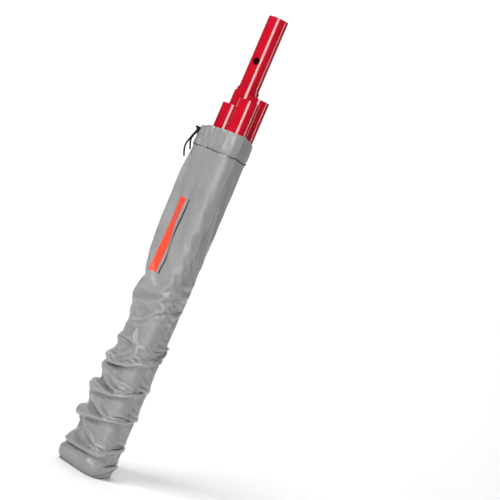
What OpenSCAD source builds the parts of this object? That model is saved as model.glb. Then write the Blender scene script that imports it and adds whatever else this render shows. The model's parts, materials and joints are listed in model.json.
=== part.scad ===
// Set of access poles standing in a drawstring carrying bag: one telescopic pole
// of three sections, and three single poles that push together end to end.
// +Z runs up the poles and the bag's front faces -Y. The origin is on the floor,
// under the middle of the bundle of poles.

/* [Tubes] */
// Outer diameter of a single pole and of the thinnest telescopic section
pole_d = 28; // [27:0.5:28]
// Wall of every red tube
wall = 1.4; // [1.3:0.1:1.5]
// Clearance at the radius between one telescopic section and the next
slide_gap = 0.3; // [0.3:0.01:0.35]
// Diameter of a lock hole through a tube's wall
lock_hole_d = 10; // [9.4:0.1:10]
// Distance from an open tube end down to its accessory lock hole
lock_hole_drop = 64; // [55:1:64]

/* [Heights above the floor] */
// Upper end of the thin telescopic section
inner_top = 645; // [620:1:660]
// Upper end of the middle telescopic section
middle_top = 543; // [541:1:546]
// Upper end of the outer telescopic section
outer_top = 537; // [530:1:538]
// Upper end of the left-hand single pole
left_top = 513; // [512:1:520]
// Upper end of the front single pole
front_top = 524; // [515:1:530]
// Upper end of the right-hand single pole
right_top = 533; // [520:1:535]

/* [Single poles] */
// Length of a single pole with its spigot
single_length = 510; // [480:1:510]
// Length of spigot that shows below the tube
spigot_reach = 90; // [85:1:100]
// Length of spigot that is fixed inside the tube
spigot_grip = 60; // [50:1:70]

/* [Snap buttons] */
// Diameter of a snap button
button_d = 9; // [8.6:0.1:9]

/* [Bag] */
// Height of the bag's mouth
bag_top = 475; // [465:1:478]
// Depth of the hem that holds the drawcord
hem_depth = 28; // [26:1:32]
// Thickness of the cloth as a solid
cloth = 1; // [0.8:0.1:1.1]
// Clearance between the poles and the cloth at the mouth
mouth_gap = 2.2; // [2.2:0.1:3]
// Diameter of the drawcord
cord_d = 2.4; // [2:0.1:2.6]

/* [Hidden] */
$fn = 64;

// Where each pole stands, and the way its snap button faces in degrees from +X.
telescope_at = [-5.6, 26.5];
left_at = [-15.2, -3.9];
front_at = [4.6, -30.9];
right_at = [14.3, -3.9];
telescope_facing = 90;
accessory_hole_facing = -113;
left_facing = 180;
front_facing = -90;
right_facing = 0;

// Radii of the three telescopic sections, from the inside out.
inner_r = pole_d / 2;
middle_r = inner_r + slide_gap + wall;
outer_r = middle_r + slide_gap + wall;
inner_bore_r = inner_r - wall;
middle_bore_r = middle_r - wall;
outer_bore_r = outer_r - wall;

// Lower ends and lock heights of the telescopic sections.
floor_gap = 0.3;
base_thick = 1.5;
stand_z = base_thick + floor_gap;
foot_flange = 3.2;
foot_plug = 15;
outer_base = stand_z + foot_flange;
guide_h = 6;
guide_plug = 6;
guide_fit = 0.05;
middle_base = 28;
middle_button_z = 46;
inner_base = 68;
inner_button_z = 96;
lock_below_rim = 40;
middle_lock_z = middle_top - lock_below_rim;
outer_lock_z = outer_top - lock_below_rim;

// Socket at the open end of a pole, and the spigot of a single pole that fits it.
socket_r = inner_bore_r + 0.3;
socket_depth = 95;
spigot_r = socket_r - 0.05;
spigot_wall = 1.4;
spigot_bore_r = inner_bore_r - spigot_wall;
plug_flange = 2;
plug_depth = 4;
rivet_r = 3;
rivet_head = 0.8;
rivet_rise = [16, 44];

// Snap button and the bent leaf spring behind it.
button_r = button_d / 2;
button_guide_r = button_r + 0.1;
button_flange_r = button_r + 1;
button_flange = 0.9;
button_dome_r = 7;
leaf = 0.8;
leaf_w = 8.6;
leaf_gap = 0.05;
leaf_rise = 8;
single_crown = inner_r + 1.8;
single_button_len = 7.8;
telescope_button_len = 6.6;

// Bag outline: the bundle of poles with slack cloth gathered on its left.
slack_at = [-37, -5];
slack_r = 6;
hem_slack_at = [-29.5, -5];
slice = 0.01;
hem_wall = 0.5;
hem_channel = cord_d + 0.4;
cord_z = bag_top - 16;
// Height, clearance round the poles, and place of the slack cloth, at the bag's outer face
// from the floor up to the hem.
bag_levels = [
  [base_thick, 1.6, slack_at],
  [12, 4, slack_at],
  [40, 5, slack_at],
  [200, 5, slack_at],
  [245, mouth_gap + cloth, slack_at],
  [405, mouth_gap + cloth, slack_at],
  [bag_top - hem_depth, mouth_gap + cloth, hem_slack_at]
];

// Cord tails hang from the knot beside the left of the mouth.
knot_at = [-44.7, -6, cord_z + 9];
knot_r = 3;
neck_route = [[-39.5, -5, cord_z], [-43.1, -5.3, cord_z + 0.6], knot_at];
long_route = [
  [-45.7, -5, 465.8], [-47.1, -6.5, 461], [-48.9, -8, 455], [-50.7, -9, 448.5],
  [-51.9, -9.5, 442], [-51.1, -9.5, 436], [-49.3, -9.5, 430.5], [-47.7, -9.5, 427]
];
short_route = [
  [-44.3, -8, 465.8], [-45.5, -10.5, 461], [-47.1, -12.6, 456], [-47.9, -14, 451],
  [-46.7, -14.8, 446], [-44.9, -14.6, 441.5], [-43.9, -14, 438]
];

// ---- Outlines and shared shapes ----

// Outline round every pole, grown by a clearance, with the slack cloth on the left.
module bundle_outline(grow, slack_place) {
  hull() {
    translate(telescope_at) circle(r = outer_r + grow, $fn = 48);
    translate(left_at) circle(r = inner_r + grow, $fn = 48);
    translate(front_at) circle(r = inner_r + grow, $fn = 48);
    translate(right_at) circle(r = inner_r + grow, $fn = 48);
    translate(slack_place) circle(r = slack_r + grow, $fn = 48);
  }
}

// Solid inside the bag's outer face, moved in by an inset.
module bag_solid(inset, lift) {
  for (i = [0 : len(bag_levels) - 2]) {
    low = bag_levels[i];
    high = bag_levels[i + 1];
    hull() {
      translate([0, 0, low[0] - lift])
        linear_extrude(slice + lift) bundle_outline(low[1] - inset, low[2]);
      translate([0, 0, high[0] - slice])
        linear_extrude(slice + lift) bundle_outline(high[1] - inset, high[2]);
    }
  }
}

module tube(r, bore_r, low, high) {
  difference() {
    translate([0, 0, low]) cylinder(r = r, h = high - low);
    translate([0, 0, low - 1]) cylinder(r = bore_r, h = high - low + 2);
  }
}

// Reamed socket at a tube's open upper end.
module socket(top) {
  translate([0, 0, top - socket_depth]) cylinder(r = socket_r, h = socket_depth + 1);
}

// Drill through one side of a tube, at a height and facing an angle.
module side_drill(r, z, facing) {
  translate([0, 0, z]) rotate([0, 0, facing]) rotate([0, 90, 0]) cylinder(r = r, h = 40);
}

// Domed button on the +X side, with a flange that keeps it in its tube.
module snap_button(crown, length, z) {
  base = crown - length;
  translate([0, 0, z]) rotate([0, 90, 0]) {
    intersection() {
      translate([0, 0, base]) cylinder(r = button_r, h = length + 1);
      translate([0, 0, crown - button_dome_r]) sphere(r = button_dome_r);
    }
    translate([0, 0, base]) cylinder(r = button_flange_r, h = button_flange);
  }
}

// Leaf spring bent into a U: one leg carries the button, the other bears on the far wall.
module leaf_spring(front_face, back_face, bend_z, top_z) {
  mid = (front_face + back_face) / 2;
  bend_r = (front_face - back_face) / 2;
  translate([0, leaf_w / 2, 0]) rotate([90, 0, 0]) linear_extrude(leaf_w) {
    translate([front_face - leaf, bend_z]) square([leaf, top_z - bend_z]);
    translate([back_face, bend_z]) square([leaf, top_z - bend_z]);
    difference() {
      translate([mid, bend_z]) circle(r = bend_r);
      translate([mid, bend_z]) circle(r = bend_r - leaf);
      translate([mid - bend_r - 1, bend_z]) square([2 * bend_r + 2, bend_r + 1]);
    }
  }
}

// Round cord through route points: one ring of sides at each point, square to the route.
function unit(v) = v / norm(v);
function heading(route, i) =
  unit(route[min(i + 1, len(route) - 1)] - route[max(i - 1, 0)]);
function ring_at(route, i, r, sides) =
  let (ahead = heading(route, i), across = unit(cross(ahead, [0, 1, 0])), up = cross(ahead, across))
  [for (s = [0 : sides - 1])
    let (a = 360 * s / sides) route[i] + r * cos(a) * across + r * sin(a) * up];
module cord(route, r, sides = 8) {
  last = len(route) - 1;
  points = [for (i = [0 : last]) each ring_at(route, i, r, sides)];
  skin = [for (i = [0 : last - 1], s = [0 : sides - 1])
    let (t = (s + 1) % sides, a = i * sides, b = (i + 1) * sides) [a + s, a + t, b + t, b + s]];
  start = [for (s = [sides - 1 : -1 : 0]) s];
  end = [for (s = [0 : sides - 1]) last * sides + s];
  polyhedron(points, concat(skin, [start], [end]), convexity = 4);
}

// ---- Bag ----

module bag_body() color("darkgray") difference() {
  bag_solid(0, 0);
  bag_solid(cloth, 1);
}

// Base of the bag, with cloth bunched up under the two poles that stand higher.
module bag_base() color("gray") {
  linear_extrude(base_thick) bundle_outline(bag_levels[0][1], bag_levels[0][2]);
  bunched_cloth(front_at, front_top - single_length);
  bunched_cloth(right_at, right_top - single_length);
}
module bunched_cloth(at, seat_z) {
  translate([at.x, at.y, base_thick])
    cylinder(r = spigot_r, h = seat_z - floor_gap - base_thick);
}

// Folded hem with a channel for the drawcord, and a slit on the left where the cord comes out.
module hem_casing() color("silver") {
  low = bag_top - hem_depth;
  outer = mouth_gap + 2 * hem_wall + hem_channel;
  difference() {
    translate([0, 0, low]) linear_extrude(hem_depth) bundle_outline(outer, hem_slack_at);
    translate([0, 0, low - 1]) linear_extrude(hem_depth + 2)
      bundle_outline(mouth_gap, hem_slack_at);
    translate([0, 0, cord_z - hem_channel / 2]) linear_extrude(hem_channel) difference() {
      bundle_outline(outer - hem_wall, hem_slack_at);
      bundle_outline(mouth_gap + hem_wall, hem_slack_at);
    }
    translate([hem_slack_at.x, hem_slack_at.y, cord_z])
      rotate([0, -90, 0]) cylinder(r = cord_d, h = 40);
  }
}

// Drawcord where it runs round the bag inside the hem.
module drawcord_loop() color("black") {
  inside = mouth_gap + hem_wall + 0.2;
  translate([0, 0, cord_z - cord_d / 2]) linear_extrude(cord_d) difference() {
    bundle_outline(inside + cord_d, hem_slack_at);
    bundle_outline(inside, hem_slack_at);
  }
}

// Knot outside the hem, and the cord that comes up to it from the slit.
module drawcord_knot() color("black") {
  translate(knot_at) sphere(r = knot_r);
  for (i = [0 : len(neck_route) - 2]) hull() {
    translate(neck_route[i]) sphere(r = cord_d / 2, $fn = 24);
    translate(neck_route[i + 1]) sphere(r = cord_d / 2, $fn = 24);
  }
}
module cord_tail_long() color("black") difference() {
  cord(long_route, cord_d / 2);
  translate(knot_at) sphere(r = knot_r);
}
module cord_tail_short() color("black") difference() {
  cord(short_route, cord_d / 2);
  translate(knot_at) sphere(r = knot_r);
}

// ---- Telescopic pole ----

module pole_foot() color("dimgray") translate(telescope_at) {
  translate([0, 0, stand_z]) cylinder(r = outer_r, h = foot_flange);
  translate([0, 0, outer_base]) cylinder(r = outer_bore_r, h = foot_plug);
}

module outer_tube() color("crimson") translate(telescope_at) difference() {
  tube(outer_r, outer_bore_r, outer_base, outer_top);
  side_drill(lock_hole_d / 2, middle_button_z, telescope_facing);
  side_drill(lock_hole_d / 2, outer_lock_z, telescope_facing);
}

module middle_tube() color("crimson") translate(telescope_at) difference() {
  tube(middle_r, middle_bore_r, middle_base, middle_top);
  side_drill(button_guide_r, middle_button_z, telescope_facing);
  side_drill(lock_hole_d / 2, inner_button_z, telescope_facing);
  side_drill(lock_hole_d / 2, middle_lock_z, telescope_facing);
}

// Plastic guide at a section's lower end: a collar that runs in the next bore, and a plug.
module section_guide(bore_r, run_r, base) {
  difference() {
    union() {
      translate([0, 0, base - guide_h]) cylinder(r = run_r - guide_fit, h = guide_h);
      translate([0, 0, base]) cylinder(r = bore_r, h = guide_plug);
    }
    translate([0, 0, base - guide_h - 1])
      cylinder(r = bore_r - 4, h = guide_h + guide_plug + 2);
  }
}
module middle_guide() color("dimgray") translate(telescope_at)
  section_guide(middle_bore_r, outer_bore_r, middle_base);

module middle_spring() color("lightsteelblue") translate(telescope_at)
  rotate([0, 0, telescope_facing])
  leaf_spring(middle_r - telescope_button_len - leaf_gap, -middle_bore_r + 1,
    middle_button_z, middle_button_z + leaf_rise);

module middle_button() color("silver") translate(telescope_at)
  rotate([0, 0, telescope_facing]) snap_button(middle_r, telescope_button_len, middle_button_z);

module inner_tube() color("crimson") translate(telescope_at) difference() {
  tube(inner_r, inner_bore_r, inner_base, inner_top);
  socket(inner_top);
  side_drill(button_guide_r, inner_button_z, telescope_facing);
  side_drill(lock_hole_d / 2, inner_top - lock_hole_drop, accessory_hole_facing);
}
module inner_guide() color("dimgray") translate(telescope_at)
  section_guide(inner_bore_r, middle_bore_r, inner_base);

module inner_spring() color("lightsteelblue") translate(telescope_at)
  rotate([0, 0, telescope_facing])
  leaf_spring(inner_r - telescope_button_len - leaf_gap, -inner_bore_r + 1,
    inner_button_z, inner_button_z + leaf_rise);

module inner_button() color("silver") translate(telescope_at)
  rotate([0, 0, telescope_facing]) snap_button(inner_r, telescope_button_len, inner_button_z);

// ---- Single poles ----

function shoulder_z(top) = top - single_length + spigot_reach;
function single_button_z(top) = shoulder_z(top) - lock_hole_drop;

module single_tube(at, facing, top) color("crimson") translate(at) difference() {
  tube(inner_r, inner_bore_r, shoulder_z(top), top);
  socket(top);
  side_drill(lock_hole_d / 2, top - lock_hole_drop, facing);
  for (rise = rivet_rise) side_drill(rivet_r / 2, shoulder_z(top) + rise, facing);
}

// Spigot: a grip inside the red tube, then a reach that plugs into another pole.
module single_spigot(at, facing, top) color("gainsboro") translate(at) difference() {
  low = top - single_length + plug_flange;
  union() {
    tube(spigot_r, spigot_bore_r, low, shoulder_z(top));
    tube(inner_bore_r, spigot_bore_r, shoulder_z(top), shoulder_z(top) + spigot_grip);
  }
  side_drill(button_guide_r, single_button_z(top), facing);
  for (rise = rivet_rise) side_drill(rivet_r / 2, shoulder_z(top) + rise, facing);
}

module single_rivets(at, facing, top) color("silver") translate(at) rotate([0, 0, facing])
  for (rise = rivet_rise) translate([0, 0, shoulder_z(top) + rise]) rotate([0, 90, 0]) {
    intersection() {
      translate([0, 0, inner_r - 0.4]) cylinder(r = rivet_r, h = rivet_head + 1);
      translate([0, 0, inner_r + rivet_head - rivet_r * 2]) sphere(r = rivet_r * 2);
      difference() {
        cylinder(r = rivet_r + 1, h = inner_r * 2);
        rotate([0, 90, 0]) cylinder(r = inner_r, h = 20, center = true);
      }
    }
    translate([0, 0, spigot_bore_r]) cylinder(r = rivet_r / 2, h = inner_r - spigot_bore_r);
  }

module single_end_plug(at, top) color("dimgray") translate(at) {
  low = top - single_length;
  translate([0, 0, low]) cylinder(r = spigot_r, h = plug_flange);
  translate([0, 0, low + plug_flange]) cylinder(r = spigot_bore_r, h = plug_depth);
}

module single_spring(at, facing, top) color("lightsteelblue") translate(at)
  rotate([0, 0, facing])
  leaf_spring(single_crown - single_button_len - leaf_gap, -spigot_bore_r + 1.2,
    single_button_z(top) - leaf_rise, single_button_z(top) + leaf_rise);

module single_button(at, facing, top) color("silver") translate(at)
  rotate([0, 0, facing]) snap_button(single_crown, single_button_len, single_button_z(top));

bag_body();
bag_base();
hem_casing();
drawcord_loop();
drawcord_knot();
cord_tail_long();
cord_tail_short();
pole_foot();
outer_tube();
middle_tube();
middle_guide();
middle_spring();
middle_button();
inner_tube();
inner_guide();
inner_spring();
inner_button();
single_tube(left_at, left_facing, left_top);  // left_tube
single_spigot(left_at, left_facing, left_top);  // left_spigot
single_rivets(left_at, left_facing, left_top);  // left_rivets
single_end_plug(left_at, left_top);  // left_end_plug
single_spring(left_at, left_facing, left_top);  // left_spring
single_button(left_at, left_facing, left_top);  // left_button
single_tube(front_at, front_facing, front_top);  // front_tube
single_spigot(front_at, front_facing, front_top);  // front_spigot
single_rivets(front_at, front_facing, front_top);  // front_rivets
single_end_plug(front_at, front_top);  // front_end_plug
single_spring(front_at, front_facing, front_top);  // front_spring
single_button(front_at, front_facing, front_top);  // front_button
single_tube(right_at, right_facing, right_top);  // right_tube
single_spigot(right_at, right_facing, right_top);  // right_spigot
single_rivets(right_at, right_facing, right_top);  // right_rivets
single_end_plug(right_at, right_top);  // right_end_plug
single_spring(right_at, right_facing, right_top);  // right_spring
single_button(right_at, right_facing, right_top);  // right_button
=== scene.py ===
"""Access pole set in a drawstring bag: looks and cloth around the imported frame.

Lengths are in metres. The poles are the frame's own parts; the bag is a tube of cloth that a
simulation pushes down round them, with its hem, base, stitches and drawcord built on it.
"""
import json
import math
import bpy
from mathutils import Matrix, Vector, noise


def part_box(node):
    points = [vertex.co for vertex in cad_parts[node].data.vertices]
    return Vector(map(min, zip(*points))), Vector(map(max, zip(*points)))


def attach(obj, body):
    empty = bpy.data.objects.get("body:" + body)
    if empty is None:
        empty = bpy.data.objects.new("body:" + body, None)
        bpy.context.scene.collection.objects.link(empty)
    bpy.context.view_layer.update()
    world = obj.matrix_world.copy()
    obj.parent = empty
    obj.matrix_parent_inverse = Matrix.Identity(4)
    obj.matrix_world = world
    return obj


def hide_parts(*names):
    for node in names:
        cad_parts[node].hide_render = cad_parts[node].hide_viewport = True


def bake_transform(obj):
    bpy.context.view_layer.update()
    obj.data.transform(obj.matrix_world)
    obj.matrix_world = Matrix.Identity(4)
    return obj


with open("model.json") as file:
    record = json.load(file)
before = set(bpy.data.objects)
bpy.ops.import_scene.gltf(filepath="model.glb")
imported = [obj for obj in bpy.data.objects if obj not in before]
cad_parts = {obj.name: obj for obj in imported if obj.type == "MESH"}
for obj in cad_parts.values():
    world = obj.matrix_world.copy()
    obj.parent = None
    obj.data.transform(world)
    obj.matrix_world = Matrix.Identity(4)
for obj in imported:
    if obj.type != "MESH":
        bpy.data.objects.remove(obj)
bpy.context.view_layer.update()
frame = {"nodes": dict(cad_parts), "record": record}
nodes = frame["nodes"]
MM = 0.001
TURN = 2 * math.pi
CLOTH = 0.4 * MM       # thickness of the bag's cloth
END_TAPER = 0.55       # width of a cord's or a thread's end, as a share of its full width

# ---- What the frame says -------------------------------------------------------------------

POLE_NODES = ("outer_tube", "left_tube", "front_tube", "right_tube")


def footprint(node):
    """Middle (x, y) and radius of a round upright node."""
    low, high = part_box(node)
    return Vector(((low.x + high.x) / 2, (low.y + high.y) / 2)), (high.x - low.x) / 2


POLES = [footprint(name) for name in POLE_NODES]
HEM_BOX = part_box("hem_casing")
HEM_LOW, HEM_TOP = HEM_BOX[0].z, HEM_BOX[1].z
CORD_Z = (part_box("drawcord_loop")[0].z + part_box("drawcord_loop")[1].z) / 2
KNOT_AT = Vector((-44.7, -6.0, 468.0)) * MM     # middle of the drawcord's knot
MIDDLE = Vector((-2, -2)) * MM                  # middle of the bundle of poles

# ---- Camera --------------------------------------------------------------------------------

CAMERA_DISTANCE = 1.896
CAMERA_AIM = Vector((0.0800, 0.0, 0.348))
CAMERA_ROLL = math.radians(23.2)
FIELD_OF_VIEW = math.radians(19.66)


def make_camera():
    """Level camera in front of the bag, rolled so that the poles lean to the right."""
    data = bpy.data.cameras.new("camera")
    data.sensor_width = 36
    data.lens = data.sensor_width / 2 / math.tan(FIELD_OF_VIEW / 2)
    data.clip_start = 0.05
    camera = bpy.data.objects.new("camera", data)
    bpy.context.scene.collection.objects.link(camera)
    lean, upright = math.sin(CAMERA_ROLL), math.cos(CAMERA_ROLL)
    right, up, back = Vector((upright, 0, lean)), Vector((-lean, 0, upright)), Vector((0, -1, 0))
    turn = Matrix((right, up, back)).transposed().to_4x4()
    camera.matrix_world = Matrix.Translation(CAMERA_AIM + back * CAMERA_DISTANCE) @ turn
    bpy.context.scene.camera = camera


make_camera()

# ---- Mesh helpers --------------------------------------------------------------------------


def new_piece(name, verts, faces, uvs=None):
    """A smooth-shaded mesh object from points, faces and one (u, v) for each face corner."""
    mesh = bpy.data.meshes.new(name)
    mesh.from_pydata([tuple(v) for v in verts], [], faces)
    if uvs:
        layer = mesh.uv_layers.new(name="cloth")
        for corner, uv in zip(layer.data, uvs):
            corner.uv = uv
    mesh.polygons.foreach_set("use_smooth", [True] * len(mesh.polygons))
    made = bpy.data.objects.new(name, mesh)
    bpy.context.scene.collection.objects.link(made)
    return made


def subdivide(piece):
    """One level of subdivision, in views and renders alike."""
    smoother = piece.modifiers.new("Subdivide", "SUBSURF")
    smoother.levels = smoother.render_levels = 1


def thicken(piece, offset):
    """Gives a sheet the cloth's thickness, inwards (-1) or outwards (1) from its faces."""
    thick = piece.modifiers.new("Thickness", "SOLIDIFY")
    thick.thickness, thick.offset = CLOTH, offset


def smooth_step(x):
    """0 below 0, 1 above 1, and a smooth rise between."""
    x = max(0.0, min(1.0, x))
    return x * x * (3 - 2 * x)


def catmull(points, per_span):
    """Points along a smooth curve through the given ones."""
    def at(i):
        return points[max(0, min(len(points) - 1, i))]

    out = []
    for i in range(len(points) - 1):
        p0, p1, p2, p3 = at(i - 1), at(i), at(i + 1), at(i + 2)
        for s in range(per_span):
            t = s / per_span
            out.append(0.5 * (2 * p1 + (p2 - p0) * t + (2 * p0 - 5 * p1 + 4 * p2 - p3) * t * t
                              + (3 * p1 - p0 - 3 * p2 + p3) * t ** 3))
    return out + [points[-1]]


def cell_uvs(u0, u1, v0, v1):
    """The (u, v) of a four-sided face's corners."""
    return [(u0, v0), (u1, v0), (u1, v1), (u0, v1)]


def tube_data(points, radius, sides=12, closed=False):
    """Vertices, faces and uvs of a round tube along points. u goes round and v runs along."""
    verts, faces, uvs, runs = [], [], [], []
    count = len(points)
    across = None
    run = 0.0
    radii = [radius] * count
    if not closed:
        radii[0] = radii[-1] = radius * END_TAPER
    for i, p in enumerate(points):
        before = points[i - 1] if closed or i else points[0]
        after = points[(i + 1) % count] if closed or i < count - 1 else points[-1]
        ahead = (after - before).normalized()
        seed = across if across is not None else ahead.orthogonal()
        across = (seed - ahead * seed.dot(ahead)).normalized()
        up = ahead.cross(across)
        run += (p - points[i - 1]).length if i else 0.0
        runs.append(run)
        for s in range(sides):
            a = TURN * s / sides
            verts.append(p + (across * math.cos(a) + up * math.sin(a)) * radii[i])
    for i in range(count if closed else count - 1):
        j = (i + 1) % count
        for s in range(sides):
            t = (s + 1) % sides
            faces.append((i * sides + s, i * sides + t, j * sides + t, j * sides + s))
            u0, u1 = TURN * radius * s / sides, TURN * radius * (s + 1) / sides
            uvs += cell_uvs(u0, u1, runs[i], runs[j] if j else run)
    if not closed:
        for ring, ahead in ((0, True), (count - 1, False)):
            rim = [ring * sides + s for s in range(sides)]
            faces.append(tuple(reversed(rim)) if ahead else tuple(rim))
            uvs += [(0.0, runs[ring])] * sides
    return verts, faces, uvs


def joined(parts):
    """Several (verts, faces, uvs) as one."""
    verts, faces, uvs = [], [], []
    for part_verts, part_faces, part_uvs in parts:
        base = len(verts)
        verts += part_verts
        faces += [tuple(base + i for i in face) for face in part_faces]
        uvs += part_uvs
    return verts, faces, uvs


# ---- Drawcord tails ------------------------------------------------------------------------

CORD_D = 2.4 * MM
LONG_ROUTE = [
    (-45.7, -5, 465.8), (-47.1, -6.5, 461), (-48.9, -8, 455), (-50.7, -9, 448.5),
    (-51.9, -9.5, 442), (-51.1, -9.5, 436), (-49.3, -9.5, 430.5), (-47.7, -9.5, 427),
]
SHORT_ROUTE = [
    (-44.3, -8, 465.8), (-45.5, -10.5, 461), (-47.1, -12.6, 456), (-47.9, -14, 451),
    (-46.7, -14.8, 446), (-44.9, -14.6, 441.5), (-43.9, -14, 438),
]


def cord_tail(name, route, cad_node):
    """One free end of the drawcord, hanging from the knot beside the mouth."""
    points = catmull([Vector(p) * MM for p in route], 5)
    piece = new_piece(name, *tube_data(points, CORD_D / 2, sides=14))
    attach(piece, "bag")
    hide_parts(cad_node)
    return piece


long_tail = cord_tail("drawcord_long_tail", LONG_ROUTE, "cord_tail_long")
short_tail = cord_tail("drawcord_short_tail", SHORT_ROUTE, "cord_tail_short")

# ---- Materials -----------------------------------------------------------------------------


def feed(tree, socket, value):
    """Links a node's output to a socket, or sets the socket's own value."""
    if isinstance(value, bpy.types.NodeSocket):
        tree.links.new(value, socket)
    else:
        socket.default_value = value


def add(tree, kind, inputs=None, **props):
    """Adds a shader node, sets its properties and inputs, and returns its first output."""
    made = tree.nodes.new("ShaderNode" + kind)
    for name, value in props.items():
        setattr(made, name, value)
    for name, value in (inputs or {}).items():
        feed(tree, made.inputs[name], value)
    return made.outputs[0]


def math_node(tree, operation, a, b=0.0):
    return add(tree, "Math", {0: a, 1: b}, operation=operation)


def mix_colour(tree, factor, a, b):
    """Colour a where factor is 0, and b where it is 1."""
    made = tree.nodes.new("ShaderNodeMix")
    made.data_type = "RGBA"
    for index, value in ((0, factor), (6, a), (7, b)):
        feed(tree, made.inputs[index], value)
    return made.outputs[2]


def noise_value(tree, vector, scale, detail=3.0, roughness=0.5):
    return add(tree, "TexNoise",
               {"Vector": vector, "Scale": scale, "Detail": detail, "Roughness": roughness})


def between(tree, value, low, high, soft):
    """1 where value lies between low and high, with soft edges."""
    rise = add(tree, "MapRange", {"Value": value, "From Min": low - soft, "From Max": low + soft})
    fall = add(tree, "MapRange", {"Value": value, "From Min": high + soft, "From Max": high - soft})
    return math_node(tree, "MULTIPLY", rise, fall)


def remap(tree, value, low, high, to_low, to_high):
    return add(tree, "MapRange", {"Value": value, "From Min": low, "From Max": high,
                                  "To Min": to_low, "To Max": to_high})


def bump(tree, height, distance, strength=1.0, normal=None):
    inputs = {"Height": height, "Distance": distance, "Strength": strength}
    if normal:
        inputs["Normal"] = normal
    return add(tree, "Bump", inputs)


def material(name, build):
    """A node material. build(tree) returns the Principled inputs."""
    made = bpy.data.materials.new(name)
    made.use_nodes = True
    tree = made.node_tree
    tree.nodes.clear()
    shader = add(tree, "BsdfPrincipled", build(tree))
    tree.links.new(shader, tree.nodes.new("ShaderNodeOutputMaterial").inputs["Surface"])
    return made


def object_place(tree):
    return add(tree, "TexCoord").node.outputs["Object"]


def red_tube(name, centre, radius):
    """Deep red gloss outside, and a darker, duller cut end and bore."""
    def build(tree):
        place = object_place(tree)
        axis = add(tree, "CombineXYZ", {"X": centre.x, "Y": centre.y, "Z": 0.0})
        offset = add(tree, "VectorMath", {0: place, 1: axis}, operation="SUBTRACT")
        flat = add(tree, "VectorMath", {0: offset, 1: (1, 1, 0)}, operation="MULTIPLY")
        reach = add(tree, "VectorMath", {0: flat}, operation="LENGTH").node.outputs["Value"]
        outside = remap(tree, reach, radius - 0.35 * MM, radius - 0.1 * MM, 0, 1)
        stretched = add(tree, "VectorMath", {0: place, 1: (1, 1, 0.04)}, operation="MULTIPLY")
        streak = noise_value(tree, stretched, 900, 4)
        patch = remap(tree, noise_value(tree, place, 45, 2), 0.3, 0.7, 0, 1)
        red = mix_colour(tree, patch, (0.42, 0.0020, 0.013, 1), (0.50, 0.0032, 0.018, 1))
        inside = mix_colour(tree, patch, (0.16, 0.006, 0.006, 1), (0.26, 0.012, 0.012, 1))
        gloss = remap(tree, streak, 0.35, 0.75, 0.10, 0.18)
        rough = add(tree, "MapRange", {"Value": outside, "To Min": 0.55, "To Max": gloss})
        scratch = noise_value(tree, stretched, 2500, 2)
        peel = noise_value(tree, place, 420, 2)
        return {"Base Color": mix_colour(tree, outside, inside, red),
                "Roughness": rough, "IOR": 1.5, "Coat Weight": 0.6, "Coat Roughness": 0.06,
                "Normal": bump(tree, scratch, 0.008 * MM, 0.2, bump(tree, peel, 0.02 * MM, 0.2))}
    return material(name, build)


def cloth_look(name, stripes=()):
    """Satin nylon: a fine weave, crushed creases, a soft sheen, and painted shade in the valleys of
    its folds with painted highlight on their ridges.

    u and v are the cloth's own lengths. A stripe is (low u, high u, low v, high v, colour).
    """
    def build(tree):
        place = object_place(tree)
        uv = add(tree, "UVMap", uv_map="cloth")
        split = add(tree, "SeparateXYZ", {"Vector": uv}).node
        u, v = split.outputs["X"], split.outputs["Y"]
        pitch = TURN / (0.5 * MM)       # two threads of the weave in half a millimetre
        warp = math_node(tree, "SINE", math_node(tree, "MULTIPLY", u, pitch))
        weft = math_node(tree, "SINE", math_node(tree, "MULTIPLY", v, pitch))
        weave = math_node(tree, "MULTIPLY", warp, weft)
        crush = add(tree, "TexVoronoi", {"Vector": place, "Scale": 60.0, "Randomness": 1.0},
                    feature="DISTANCE_TO_EDGE")
        ridge = remap(tree, crush, 0.0, 0.12, 0.0, 1.0)
        ripple = noise_value(tree, place, 130, 5, 0.55)
        cloud = noise_value(tree, place, 22, 3)
        fleck = noise_value(tree, uv, 1400, 2)
        grey = mix_colour(tree, remap(tree, cloud, 0.3, 0.7, 0, 1),
                          (0.232, 0.230, 0.232, 1), (0.280, 0.276, 0.276, 1))
        grey = mix_colour(tree, remap(tree, fleck, 0.3, 0.7, 0.0, 0.16), grey,
                          (0.15, 0.15, 0.155, 1))
        # Painted shade darkens the valleys of the folds and painted highlight lightens their
        # ridges, following the mesh's curvature
        bend = add(tree, "NewGeometry").node.outputs["Pointiness"]
        grey = mix_colour(tree, remap(tree, bend, 0.40, 0.495, 0.75, 0.0), grey,
                          (0.045, 0.045, 0.050, 1))
        grey = mix_colour(tree, remap(tree, bend, 0.51, 0.60, 0.0, 0.5), grey,
                          (0.42, 0.415, 0.41, 1))
        rough = remap(tree, ripple, 0.3, 0.7, 0.27, 0.37)
        for low, high, bottom, top, colour in stripes:
            edge = math_node(tree, "MULTIPLY", between(tree, u, low, high, 0.12 * MM),
                             between(tree, v, bottom, top, 0.12 * MM))
            worn = remap(tree, noise_value(tree, uv, 700, 4), 0.25, 0.42, 0.72, 1.0)
            grey = mix_colour(tree, math_node(tree, "MULTIPLY", edge, worn), grey, colour)
        normal = bump(tree, ridge, 0.3 * MM, 0.4)
        normal = bump(tree, ripple, 0.7 * MM, 0.45, normal)
        normal = bump(tree, weave, 0.05 * MM, 0.35, normal)
        return {"Base Color": grey, "Roughness": rough, "Normal": normal, "Sheen Weight": 0.15,
                "Sheen Roughness": 0.35, "Specular IOR Level": 0.7}
    return material(name, build)


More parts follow.
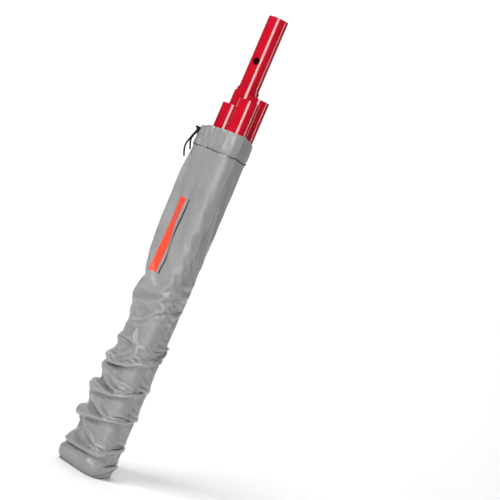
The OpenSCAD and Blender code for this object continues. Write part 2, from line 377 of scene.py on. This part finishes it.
def braid_look(name, colour):
    """Braided cord: two sets of slanting strands."""
    def build(tree):
        uv = add(tree, "UVMap", uv_map="cloth")
        split = add(tree, "SeparateXYZ", {"Vector": uv}).node
        u, v = split.outputs["X"], split.outputs["Y"]
        turn = TURN / (0.94 * MM)       # width of one strand, round the cord
        left = math_node(tree, "SINE", math_node(tree, "MULTIPLY",
                                                 math_node(tree, "ADD", u, v), turn))
        right = math_node(tree, "SINE", math_node(tree, "MULTIPLY",
                                                  math_node(tree, "SUBTRACT", u, v), turn))
        strands = math_node(tree, "MAXIMUM", left, right)
        fuzz = noise_value(tree, object_place(tree), 2600, 3)
        # The grooves between the strands are painted darker: painted shade
        tone = mix_colour(tree, remap(tree, strands, -0.4, 1.0, 0, 1),
                          tuple(0.45 * c for c in colour[:3]) + (1,), colour)
        return {"Base Color": tone, "Roughness": remap(tree, fuzz, 0.3, 0.7, 0.6, 0.85),
                "Specular IOR Level": 0.25,
                "Normal": bump(tree, fuzz, 0.05 * MM, 0.4, bump(tree, strands, 0.18 * MM, 0.8))}
    return material(name, build)


def metal_look(name, colour, low, high, stretch):
    """Drawn or brushed metal, with streaks along the long way of stretch."""
    def build(tree):
        place = object_place(tree)
        grain = add(tree, "VectorMath", {0: place, 1: stretch}, operation="MULTIPLY")
        streak = noise_value(tree, grain, 1600, 5)
        stain = noise_value(tree, place, 60, 3)
        tone = mix_colour(tree, remap(tree, stain, 0.35, 0.7, 0, 0.35), colour,
                          tuple(0.62 * c for c in colour[:3]) + (1,))
        return {"Base Color": tone, "Metallic": 1.0,
                "Roughness": remap(tree, streak, 0.3, 0.7, low, high),
                "Normal": bump(tree, streak, 0.02 * MM, 0.4)}
    return material(name, build)


def plastic_look(name, colour):
    """Moulded plastic with a spark-eroded grain."""
    def build(tree):
        place = object_place(tree)
        grain = noise_value(tree, place, 1800, 3)
        scuff = noise_value(tree, place, 90, 4)
        tone = mix_colour(tree, remap(tree, scuff, 0.45, 0.8, 0, 0.5), colour,
                          tuple(min(1, 2.2 * c) for c in colour[:3]) + (1,))
        return {"Base Color": tone, "Roughness": remap(tree, scuff, 0.3, 0.7, 0.42, 0.6),
                "Normal": bump(tree, grain, 0.05 * MM, 0.5)}
    return material(name, build)


cord_material = braid_look("black_braid", (0.006, 0.006, 0.007, 1))
for tail in (long_tail, short_tail):
    tail.data.materials.append(cord_material)

# ---- Bag outlines --------------------------------------------------------------------------

AROUND = 96            # columns of the body's cloth
FINE_STEPS = 720
SLACK_RADIUS = 6 * MM  # of the loose cloth's outer fold
# Middle (x, y) of that fold, beyond the left pole, in mm: at the mouth, the stitches and below
MOUTH_SLACK, STITCH_SLACK, BODY_SLACK = (-33, -5), (-35, -5), (-38.5, -5)


def outline(grow, slack, count=AROUND):
    """Points evenly spaced round the poles and the loose fold, grown by grow mm, from the front."""
    circles = POLES + [(Vector(slack) * MM, SLACK_RADIUS)]
    fine, steps = [], FINE_STEPS
    for i in range(steps):
        a = TURN * i / steps - math.pi / 2
        way = Vector((math.cos(a), math.sin(a)))
        middle, radius = max(circles, key=lambda c: c[0].dot(way) + c[1])
        fine.append(middle + way * (radius + grow * MM))
    lengths = [(fine[(i + 1) % steps] - fine[i]).length for i in range(steps)]
    total = sum(lengths)
    out, i, passed = [], 0, 0.0
    for k in range(count):
        want = total * k / count
        while passed + lengths[i] < want:
            passed += lengths[i]
            i += 1
        part = (want - passed) / lengths[i] if lengths[i] else 0.0
        out.append(fine[i].lerp(fine[(i + 1) % steps], part))
    return out


def around(points):
    """Length of a closed line."""
    return sum((b - a).length for a, b in zip(points, points[1:] + points[:1]))


def away(p):
    """Direction from the middle of the bundle, and its angle."""
    way = (p - MIDDLE).normalized()
    return way, math.atan2(way.y, way.x)


hem_outline = outline(1.2, STITCH_SLACK)
body_outline = outline(2.0, BODY_SLACK)


def gather(k, count=AROUND):
    """Ripple of the gathered cloth at the hem's stitch line, in metres."""
    a = TURN * k / count
    waves = 0.6 * math.sin(14 * a + 1.3 * math.sin(3 * a)) + 0.4 * math.sin(23 * a + 1.0)
    return (0.7 + waves) * MM


# ---- Bag body by cloth simulation ----------------------------------------------------------

BODY_TOP = HEM_LOW
ROW = 0.0030           # height of one row of the cloth, near enough
SKIRT = 0.016          # plain band above the base seam
SIM_SCALE = 10.0       # the cloth is simulated ten times larger, where the solver works best
PUSH_FRAMES = 40       # the cloth is pushed down until here, and then settles
LAST_FRAME = 58
BEND = 0.5             # bending stiffness
GRAVITY = -1.6
LIFT = 0.011           # how far the base rises at the front right
# Lines round the bag where the cloth tucks in between two folds, from the floor up:
# (mean height in mm, swing in mm, direction of the highest point in degrees)
TUCKS = [(28, 9, 55), (70, 10, 20), (109, 16, 30), (150, 14, 20), (226, 26, 70)]
# Share of spare cloth between heights in mm
SPARE_CLOTH = [(0, 0.1), (16, 0.15), (26, 0.45), (168, 0.46), (195, 0.24), (235, 0.14),
               (275, 0.04), (300, 0.0), (500, 0.0)]
# Where the cloth passes from one outline to another: (height, or drop from the hem; over length)
FOLDS_FADE = (0.18, 0.03)
FOLDS_END = (0.23, 0.07)
WAIST_END = (0.20, 0.12)
SKIRT_FLARE = (0.0, 0.009)
SKIRT_END = (SKIRT, 0.012)
BASE_LEVEL = (0.0, 0.03)
HEM_DROP = (0.0, 0.05)
CRUMPLE_DROP = (0.0, 0.03)

valley_outline = outline(0.8, (-34.5, -5))
lip_outline = outline(5.6, (-38.0, -5))
waist_outline = outline(1.8, (-33.0, -5))
skin_outline = outline(4.6, (-37, -5))
base_outline = outline(1.5, (-34, -5))


def fade(x, span):
    """Rises from 0 to 1 where x passes a (start, length)."""
    start, length = span
    return smooth_step((x - start) / length)


def ramp(table, x):
    """Value of a table of (x, value) at x."""
    for (x0, y0), (x1, y1) in zip(table, table[1:]):
        if x <= x1:
            return y0 + (y1 - y0) * max(0.0, x - x0) / (x1 - x0)
    return table[-1][1]


def cloth_rows():
    """(height as it stands, length of cloth above the base seam) for each row, from the top."""
    steps = [(0.0, 0.0)]
    while steps[-1][0] < BODY_TOP - MM:
        height, up = steps[-1]
        step = min(0.25 * MM, BODY_TOP - MM - height)
        steps.append((height + step, up + step * (1 + ramp(SPARE_CLOTH, height / MM))))
    total = steps[-1][1]
    count, i, out = round(total / ROW), 0, []
    for j in range(count + 1):
        up = total * j / count
        while i < len(steps) - 2 and steps[i + 1][1] < up:
            i += 1
        (h0, u0), (h1, u1) = steps[i], steps[i + 1]
        out.append((MM + h0 + (h1 - h0) * min(1.0, (up - u0) / (u1 - u0)), up))
    return out[::-1]


CLOTH_ROWS = cloth_rows()
ROWS = len(CLOTH_ROWS) - 1
BODY_LENGTH = CLOTH_ROWS[0][1]
SPARE = BODY_LENGTH - (BODY_TOP - MM)
BODY_ROUND = around(outline(3.6, BODY_SLACK))


def base_lift(p):
    """How far the bag's foot stands off the floor at a point: only at the front right."""
    return LIFT * smooth_step((p.x / MM - 5) / 28) * smooth_step((12 - p.y / MM) / 14)


def tuck_height(tuck, a):
    """Height in mm of a tuck's line at an angle round the bag."""
    mean, swing, way = tuck
    return mean + swing * math.cos(a - math.radians(way))


def bulge(height, a):
    """0 at a tuck and 1 at the lip just above it, at a height and an angle round the bag."""
    lines = [-12.0] + [tuck_height(tuck, a) for tuck in TUCKS] + [320.0, 460.0]
    low = max(i for i, line in enumerate(lines) if line <= height / MM)
    share = (height / MM - lines[low]) / (lines[low + 1] - lines[low])
    if share < 0.24:
        return smooth_step(share / 0.24)
    return 0.5 + 0.5 * math.cos(math.pi * (share - 0.24) / 0.76)


def body_start():
    """Rows of points of the pushed-down tube of cloth."""
    rows = []
    for j, (height, _) in enumerate(CLOTH_ROWS):
        drop = BODY_TOP - height
        row = []
        for k in range(AROUND):
            way, a = away(body_outline[k])
            folded = 1 - 0.75 * fade(height, FOLDS_FADE)
            folded *= 1 - fade(height, FOLDS_END)
            upper = waist_outline[k].lerp(body_outline[k], fade(height, WAIST_END))
            p = upper.lerp(valley_outline[k].lerp(lip_outline[k], bulge(height, a)), folded)
            p = hem_outline[k].lerp(p, fade(drop, HEM_DROP))
            skirt = base_outline[k].lerp(skin_outline[k], fade(height, SKIRT_FLARE))
            p = skirt.lerp(p, fade(height, SKIRT_END))
            rough = noise.noise(Vector((p.x * 30, p.y * 30, height * 30 + 7)))
            rough += 0.6 * noise.noise(Vector((p.x * 75, p.y * 75, height * 75 + 3)))
            free = fade(height, SKIRT_END) * fade(drop, CRUMPLE_DROP)
            p = p + way * (0.9 * MM * rough * free + (gather(k) if j == 0 else 0.0))
            lift = base_lift(p) * (1 - fade(height, BASE_LEVEL))
            row.append(Vector((p.x, p.y, height + lift)))
        rows.append(row)
    return rows


def tucked_points():
    """Points of the cloth that are caught in a tuck: the nearest row to each line, with gaps."""
    caught = []
    for tuck in TUCKS:
        mean = tuck[0]
        gap = 0.1 if mean > 200 else -0.12
        for k in range(AROUND):
            _, a = away(body_outline[k])
            line = tuck_height(tuck, a) * MM
            j = min(range(ROWS + 1), key=lambda r: abs(CLOTH_ROWS[r][0] - line))
            if noise.noise(Vector((math.cos(a) * 2.2, math.sin(a) * 2.2, mean))) > gap:
                caught.append(j * AROUND + k)
    return caught


def grid_faces(rows):
    """Faces between rows + 1 rings of AROUND points."""
    return [(j * AROUND + k, j * AROUND + (k + 1) % AROUND,
             (j + 1) * AROUND + (k + 1) % AROUND, (j + 1) * AROUND + k)
            for j in range(rows) for k in range(AROUND)]


def pole_colliders():
    """Round posts where the poles stand, for the cloth to fold against."""
    made = []
    for middle, radius in POLES:
        bpy.ops.mesh.primitive_cylinder_add(
            vertices=32, radius=(radius + 0.3 * MM) * SIM_SCALE, depth=0.6 * SIM_SCALE,
            location=(middle.x * SIM_SCALE, middle.y * SIM_SCALE, 0.2 * SIM_SCALE))
        pole = bpy.context.object
        pole.modifiers.new("Collision", "COLLISION")
        pole.collision.thickness_outer = 0.004
        pole.collision.cloth_friction = 15
        pole.collision.damping = 0.3
        made.append(pole)
    return made


def settle_body(rows):
    """Pushes the cloth down from its straight length and lets it fold. Returns its points."""
    scene = bpy.context.scene
    points = [p for row in rows for p in row]
    straight = [Vector((p.x, p.y, BODY_TOP - BODY_LENGTH + up + base_lift(p) * (height < SKIRT)))
                for row, (height, up) in zip(rows, CLOTH_ROWS) for p in row]
    held = [j * AROUND + k for j, (height, _) in enumerate(CLOTH_ROWS) for k in range(AROUND)
            if j == 0 or height <= SKIRT] + tucked_points()
    cloth = new_piece("cloth_test", [p * SIM_SCALE for p in straight], grid_faces(ROWS))
    cloth.shape_key_add(name="Basis")
    pushed = cloth.shape_key_add(name="pushed")
    for i, p in enumerate(points):
        pushed.data[i].co = p * SIM_SCALE
    for number, value in ((3, 0.0), (PUSH_FRAMES, 1.0)):
        pushed.value = value
        pushed.keyframe_insert("value", frame=number)
    for curve in cloth.data.shape_keys.animation_data.action.fcurves:
        for key in curve.keyframe_points:
            key.interpolation = "LINEAR"
    cloth.vertex_groups.new(name="held").add(sorted(set(held)), 1, "REPLACE")
    colliders = pole_colliders()
    solver = cloth.modifiers.new("Cloth", "CLOTH")
    how = solver.settings
    how.quality, how.mass, how.air_damping = 6, 0.3, 2.0
    how.tension_stiffness = how.compression_stiffness = 20
    how.shear_stiffness, how.bending_stiffness = 8, BEND
    how.tension_damping = how.compression_damping = how.shear_damping = 5
    how.bending_damping = 0.5
    how.vertex_group_mass = "held"
    touch = solver.collision_settings
    touch.distance_min = touch.self_distance_min = 0.008
    touch.use_self_collision = True
    touch.collision_quality, touch.self_friction = 2, 5
    solver.point_cache.frame_start, solver.point_cache.frame_end = 1, LAST_FRAME
    scene.frame_start, scene.frame_end = 1, LAST_FRAME
    scene.gravity = (0, 0, GRAVITY)
    for number in range(1, LAST_FRAME + 1):
        scene.frame_set(number)
    shaped = cloth.evaluated_get(bpy.context.evaluated_depsgraph_get())
    settled = [v.co / SIM_SCALE for v in shaped.to_mesh().vertices]
    shaped.to_mesh_clear()
    for spent in colliders + [cloth]:
        bpy.data.objects.remove(spent)
    scene.frame_set(1)
    return settled


def body_points():
    """Points of the body's cloth, as the simulation leaves them."""
    rows = body_start()
    return settle_body(rows)


settled = body_points()
body_uvs = []
for j in range(ROWS):
    for k in range(AROUND):
        u0, u1 = BODY_ROUND * k / AROUND, BODY_ROUND * (k + 1) / AROUND
        body_uvs += cell_uvs(u0, u1, CLOTH_ROWS[j][1], CLOTH_ROWS[j + 1][1])
body = new_piece("bag_cloth_body", settled, grid_faces(ROWS), body_uvs)
subdivide(body)
thicken(body, -1)
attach(body, "bag")
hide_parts("bag_body")

# ---- Hem casing ----------------------------------------------------------------------------

HEM_AROUND = 288       # columns of the hem's cloth
HEM_HEIGHT = HEM_TOP - HEM_LOW
# Where the front pole's snap button passes the mouth as the pole is drawn out
low_corner, high_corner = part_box("front_button")
BUTTON_PATH = Vector((low_corner[0] + high_corner[0], low_corner[1] + high_corner[1])) / 2
# Across the folded hem, from the stitch line up the outside and down the inside:
# (height as a share of the hem, how far out in mm, share of the gathers, share of the creases)
HEM_PROFILE = [
    (0.00, 0.9, 1.0, 0.0), (0.04, 1.2, 1.0, 0.3), (0.12, 1.7, 0.9, 0.7), (0.25, 2.2, 0.6, 1.0),
    (0.43, 2.7, 0.4, 1.0), (0.60, 2.4, 0.3, 1.0), (0.76, 2.0, 0.3, 1.0), (0.90, 1.7, 0.4, 1.0),
    (0.97, 1.5, 0.5, 1.0), (1.00, 1.1, 0.5, 1.0), (0.98, 0.7, 0.5, 0.8), (0.90, 0.5, 0.4, 0.4),
    (0.60, 0.3, 0.2, 0.1), (0.30, 0.3, 0.2, 0.1), (0.03, 0.5, 0.8, 0.0),
]


def hem_outline_at(share, grow):
    """Outline of the hem at a share of its height, from its stitches to the mouth."""
    low, high = outline(grow, STITCH_SLACK, HEM_AROUND), outline(grow, MOUTH_SLACK, HEM_AROUND)
    return [a.lerp(b, share) for a, b in zip(low, high)]


def looseness(way):
    """How freely the hem's cloth hangs: 1 at its left, and 0.3 where the poles stretch it."""
    return 0.3 + 0.7 * smooth_step(0.75 - way.x)


def crease(way, share, turn):
    """Soft slanting creases of the hem, from 0 to about 1."""
    tall = 0.74 * turn * share + turn
    return abs(noise.noise(Vector((way.x * turn + 0.4 * tall, way.y * turn, tall))))


def pucker(k):
    """How far the stitch line dips at a point round the hem, in mm: 0 to about 2.6."""
    a = TURN * k / HEM_AROUND
    return 1.3 + 0.7 * math.sin(9 * a + 1.7 * math.sin(4 * a)) + 0.6 * math.sin(31 * a)


def hem_data():
    """The folded hem: up the outside of the mouth, over its edge, and down the inside."""
    verts, faces, uvs, count = [], [], [], len(HEM_PROFILE)
    for share, out, gathers, creased in HEM_PROFILE:
        for k, p in enumerate(hem_outline_at(share, 0.0)):
            way, _ = away(p)
            slack = looseness(way)
            folds = 3.0 * crease(way, share, 2.6) + 3.4 * crease(way, share, 4.6)
            folds += 1.8 * crease(way, share, 9.0)
            push = (out + (folds - 0.7) * creased * slack) * MM
            push += gather(k, HEM_AROUND) * gathers * (0.4 + 0.6 * slack)
            wave = noise.noise(Vector((way.x * 3, way.y * 3, 5.0)))
            wave += 0.5 * noise.noise(Vector((way.x * 8, way.y * 8, 9.0)))
            arch = smooth_step(-way.y * 1.3 - 0.1)
            near = (p + way * 1.8 * MM - BUTTON_PATH).length
            room = 2.1 * (1 - smooth_step((near - 5 * MM) / (6 * MM)))
            p = p + way * max(push, min(room * MM, push + 1.9 * MM))
            rise = (1.8 * wave - 0.8 + 4.0 * arch) * share ** 2 - pucker(k) * (1 - share) ** 6
            verts.append(Vector((p.x, p.y, HEM_LOW + HEM_HEIGHT * share + rise * MM)))
    for i in range(count):
        j = (i + 1) % count
        v0, v1 = BODY_LENGTH + i * 4 * MM, BODY_LENGTH + (i + 1) * 4 * MM
        for k in range(HEM_AROUND):
            t = (k + 1) % HEM_AROUND
            faces.append((i * HEM_AROUND + k, i * HEM_AROUND + t,
                          j * HEM_AROUND + t, j * HEM_AROUND + k))
            u0, u1 = BODY_ROUND * k / HEM_AROUND, BODY_ROUND * (k + 1) / HEM_AROUND
            uvs += cell_uvs(u0, u1, v0, v1)
    return verts, faces, uvs


hem = new_piece("bag_hem", *hem_data())
subdivide(hem)
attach(hem, "bag")
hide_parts("hem_casing")

# ---- Base ----------------------------------------------------------------------------------

# The base panel from its seam inwards: (share of the way in, share of the seam's height kept)
BASE_RINGS = [(0, 1), (0.012, 0.62), (0.025, 0.28), (0.038, 0.05), (0.08, 0), (0.25, 0),
              (0.5, 0), (0.75, 0)]
BASE_Z = 0.8 * MM
BASE_MIDDLE_Z = 1.2 * MM


def base_data():
    """Base panel: from the seam at the foot of the body in to the middle, with soft waves."""
    seam = settled[-AROUND:]
    verts, uvs = [], []
    middle = Vector((MIDDLE.x, MIDDLE.y, BASE_MIDDLE_Z))
    for inward, kept in BASE_RINGS:
        for p in seam:
            flat = Vector((p.x, p.y, 0)).lerp(Vector((middle.x, middle.y, 0)), inward)
            wave = 0.35 * MM * noise.noise(flat * 70) * min(1.0, inward * 4)
            verts.append(Vector((flat.x, flat.y, BASE_Z + (p.z - BASE_Z) * kept + wave)))
    verts.append(middle)
    faces = grid_faces(len(BASE_RINGS) - 1)
    last = (len(BASE_RINGS) - 1) * AROUND
    faces += [(last + k, last + (k + 1) % AROUND, len(verts) - 1) for k in range(AROUND)]
    for face in faces:
        uvs += [(verts[i].x, verts[i].y) for i in face]
    return verts, faces, uvs


base = new_piece("bag_cloth_base", *base_data())
thicken(base, 1)
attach(base, "bag")
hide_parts("bag_base")

# ---- Stitching -----------------------------------------------------------------------------


def dashes(points, length, gap, radius, lift):
    """Thread stitches along a closed line, each bowed outward by lift."""
    parts, run, total = [], 0.0, around(points)
    lengths = [(points[(i + 1) % len(points)] - p).length for i, p in enumerate(points)]

    def at(distance):
        distance %= total
        i = 0
        while distance > lengths[i]:
            distance -= lengths[i]
            i += 1
        return points[i].lerp(points[(i + 1) % len(points)], distance / lengths[i])

    while run + length < total:
        stitch = []
        for s in range(5):
            p = at(run + length * s / 4)
            way, _ = away(p.xy)
            stitch.append(p + Vector((way.x, way.y, 0)) * lift * math.sin(math.pi * s / 4))
        parts.append(tube_data(stitch, radius, sides=6))
        run += length + gap
    return joined(parts)


hem_line = []
for k, p in enumerate(hem_outline_at(0.05, 0.0)):
    way, _ = away(p)
    p = p + way * (1.75 * MM + gather(k, HEM_AROUND) * (0.4 + 0.6 * looseness(way)))
    hem_line.append(Vector((p.x, p.y, HEM_LOW + (1.9 - pucker(k)) * MM)))
hem_stitches = new_piece("hem_stitches", *dashes(
    hem_line, length=2.3 * MM, gap=0.9 * MM, radius=0.5 * MM, lift=0.6 * MM))

seam_row = [settled[-2 * AROUND + k].lerp(settled[-AROUND + k], 0.6) for k in range(AROUND)]
seam_line = []
for p in seam_row:
    way, _ = away(p.xy)
    seam_line.append(p + Vector((way.x, way.y, 0)) * 0.15 * MM)
base_stitches = new_piece("base_stitches", *dashes(
    seam_line, length=2.2 * MM, gap=1.0 * MM, radius=0.38 * MM, lift=0.45 * MM))

thread = braid_look("dark_thread", (0.010, 0.010, 0.012, 1))
for stitches in (hem_stitches, base_stitches):
    stitches.data.materials.append(thread)
    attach(stitches, "bag")

# ---- Side seam -----------------------------------------------------------------------------

SEAM_COLUMN = 23
SEAM_HALF = 1.5 * MM
# Across the band: (share of its half width, height above the cloth in mm)
SEAM_PROFILE = [(-1.15, -0.3), (-1.0, 0.35), (-0.5, 0.5), (0.5, 0.5), (1.0, 0.35), (1.15, -0.3)]
SEAM_STRIP = 0.7 * MM  # cloth between two lines of the band


def side_seam_data():
    """A felled seam: a narrow raised band down the cloth."""
    verts, uvs, faces = [], [], []
    for j in range(1, ROWS):
        at = j * AROUND + SEAM_COLUMN
        here, left, right = settled[at], settled[at - 1], settled[at + 1]
        above, below = settled[at - AROUND], settled[at + AROUND]
        across = (right - left).normalized()
        out = across.cross(above - below).normalized()
        if out.xy.dot(away(here.xy)[0]) < 0 and j < 20:
            out = -out
        for offset, lift in SEAM_PROFILE:
            verts.append(here + across * SEAM_HALF * offset + out * lift * MM)
    wide = len(SEAM_PROFILE)
    for j in range(ROWS - 2):
        for s in range(wide - 1):
            corner = j * wide + s
            faces.append((corner, corner + 1, corner + wide + 1, corner + wide))
            uvs += cell_uvs(s * SEAM_STRIP, (s + 1) * SEAM_STRIP, -j * ROW, -(j + 1) * ROW)
    return verts, faces, uvs


side_seam = new_piece("bag_side_seam", *side_seam_data())
subdivide(side_seam)
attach(side_seam, "bag")

# ---- Cloth and its stripes -----------------------------------------------------------------

STRIPE_LOW, STRIPE_HIGH = 0.272 + SPARE, 0.376 + SPARE
front_left = min(range(AROUND), key=lambda k: (body_outline[k] - Vector((-27, -24)) * MM).length)
STRIPE_U = BODY_ROUND * front_left / AROUND
stripes = [
    (STRIPE_U - 6.5 * MM, STRIPE_U + 6.5 * MM, STRIPE_LOW, STRIPE_HIGH, (0.72, 0.055, 0.020, 1)),
    (STRIPE_U + 11 * MM, STRIPE_U + 13.5 * MM, STRIPE_LOW, STRIPE_HIGH, (0.02, 0.02, 0.022, 1)),
]
printed_cloth = cloth_look("satin_nylon_printed", stripes)
plain_cloth = cloth_look("satin_nylon")
body.data.materials.append(printed_cloth)
for piece in (hem, base, side_seam):
    piece.data.materials.append(plain_cloth)

# ---- Knot and the cord in the hem ----------------------------------------------------------

KNOT_STEPS = 48
HIDDEN_CORD_R = 0.75 * MM      # the cord is squeezed where the hem holds it


def knot_data():
    """Overhand knot, its cut stub, and both strands that come up to it from the slit."""
    def at(*p):
        return KNOT_AT + Vector(p) * MM

    loop = []
    for i in range(KNOT_STEPS):
        t = TURN * i / KNOT_STEPS
        loop.append(at(0.8 * (math.sin(t) + 2 * math.sin(2 * t)), -math.sin(3 * t),
                       0.8 * (math.cos(t) - 2 * math.cos(2 * t))))
    parts = [tube_data(loop, CORD_D / 2, sides=12, closed=True)]
    for line in (
            ((5.6, 1.8, -9.0), (2.6, 1.5, -8.6), (1.5, 1.0, -5.0), (0.4, 0.6, -0.5)),
            ((5.6, -0.8, -9.6), (2.9, -1.2, -9.4), (2.0, -1.2, -5.5), (0.6, -0.8, -0.5)),
            ((0.5, 0, 1.0), (-2.4, -0.4, 1.6), (-4.6, -0.8, 0.9))):
        strand = catmull([at(*p) for p in line], 5)
        parts.append(tube_data(strand, CORD_D / 2, sides=12))
    return joined(parts)


knot = new_piece("drawcord_knot_tied", *knot_data())
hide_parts("drawcord_knot")

ring = [Vector((p.x, p.y, CORD_Z)) for p in hem_outline_at(0.43, 1.3)]
cord_in_hem = new_piece("drawcord_in_hem", *tube_data(ring, HIDDEN_CORD_R, sides=10, closed=True))
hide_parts("drawcord_loop")
for piece in (knot, cord_in_hem):
    piece.data.materials.append(cord_material)
    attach(piece, "bag")

# ---- Carried-over parts --------------------------------------------------------------------

TUBE_NODES = ("outer_tube", "middle_tube", "inner_tube", "left_tube", "front_tube", "right_tube")
LOOKS = {
    "spigot_alloy": metal_look("drawn_alloy", (0.72, 0.73, 0.75, 1), 0.26, 0.42, (1, 1, 0.05)),
    "black_plastic": plastic_look("black_plastic", (0.022, 0.022, 0.024, 1)),
    "spring_steel": metal_look("spring_steel", (0.50, 0.53, 0.57, 1), 0.22, 0.36, (0.1, 1, 1)),
    "button_steel": metal_look("turned_steel", (0.68, 0.68, 0.70, 1), 0.18, 0.30, (1, 1, 1)),
}
slot_of = {part["node"]: part["material_slot"] for part in frame["record"]["subparts"]}


def dress(node, look):
    """Gives a carried-over part its material, in place of the frame's."""
    piece = nodes[node]
    piece.data.materials.clear()
    piece.data.materials.append(look)


# Each leaf spring's body, and the body of the snap button that its front leg carries
SPRINGS = {
    "middle": ("middle_section", "middle_snap"), "inner": ("inner_section", "inner_snap"),
    "left": ("left_pole", "left_snap"), "front": ("front_pole", "front_snap"),
    "right": ("right_pole", "right_snap"),
}


def bending_spring(name):
    """Copy of a leaf spring in spring steel, in place of the frame's part."""
    source = nodes[name + "_spring"]
    points = [source.matrix_world @ v.co for v in source.data.vertices]
    spring = new_piece(name + "_leaf_spring", points,
                       [tuple(face.vertices) for face in source.data.polygons])
    (low, high), (button_low, button_high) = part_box(source.name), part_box(name + "_button")
    middle = (low + high) / 2
    ahead = (button_low + button_high) / 2 - middle
    ahead = Vector((ahead.x, ahead.y, 0)).normalized()
    spring.data.materials.append(LOOKS["spring_steel"])
    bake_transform(spring)
    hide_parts(source.name)


for name in TUBE_NODES:
    middle, radius = footprint(name)
    dress(name, red_tube("red_gloss_" + name, middle, radius))
for name, slot_name in slot_of.items():
    if slot_name in LOOKS:
        dress(name, LOOKS[slot_name])
for name, (section, button) in SPRINGS.items():
    bending_spring(name)

# ---- Stage and light -----------------------------------------------------------------------


WIDE_FLOOR = 12        # half its side
WIDE_FLOOR_Z = -0.004  # just below the floor on which the object stands


def backdrop():
    """Wide pale floor, with a pale screen that curves up from it behind the object."""
    line = [(-2.0, 0.0), (1.4, 0.0)]
    line += [(1.4 + math.sin(a), 1 - math.cos(a))
             for a in (math.radians(9 * i) for i in range(1, 11))]
    line.append((2.4, 2.6))
    verts = [Vector((x, y, z)) for y, z in line for x in (-1.5, 1.5)]
    faces = [(2 * i, 2 * i + 1, 2 * i + 3, 2 * i + 2) for i in range(len(line) - 1)]
    made = new_piece("floor", verts, faces)
    corners = [(x * WIDE_FLOOR, y * WIDE_FLOOR, WIDE_FLOOR_Z)
               for x, y in ((-1, -1), (1, -1), (1, 1), (-1, 1))]
    wide = new_piece("wide_floor", corners, [(0, 1, 2, 3)])

    def build(tree):
        grain = noise_value(tree, object_place(tree), 3, 2)
        return {"Base Color": mix_colour(tree, grain, (0.86, 0.86, 0.86, 1), (0.9, 0.9, 0.9, 1)),
                "Roughness": 0.9}
    pale = material("pale_floor", build)
    for ground in (made, wide):
        ground.data.materials.append(pale)


def soft_box(name, place, aim, size, power):
    """A rectangular light at a place, facing an aim point."""
    data = bpy.data.lights.new(name, "AREA")
    data.shape = "RECTANGLE"
    data.size, data.size_y = size
    data.energy = power
    made = bpy.data.objects.new(name, data)
    made.location = place
    made.rotation_euler = (Vector(aim) - Vector(place)).to_track_quat("-Z", "Y").to_euler()
    bpy.context.scene.collection.objects.link(made)


backdrop()
CENTRE = (0, 0, 0.35)
soft_box("front", (0.02, -2.35, 0.86), CENTRE, (0.9, 0.8), 20)
soft_box("key", (-0.95, -1.35, 1.9), CENTRE, (0.9, 0.9), 50)
soft_box("side", (1.9, 0.17, 0.75), CENTRE, (0.22, 1.3), 7)
soft_box("screen_light", (0, 0.9, 2.9), (0, 2.4, 0.6), (2.4, 0.6), 60)
world = bpy.data.worlds.new("studio")
bpy.context.scene.world = world
world.use_nodes = True
sky = world.node_tree.nodes["Background"]
sky.inputs["Color"].default_value = (1, 1, 1, 1)
sky.inputs["Strength"].default_value = 0.07
bpy.context.scene.view_settings.view_transform = "Standard"
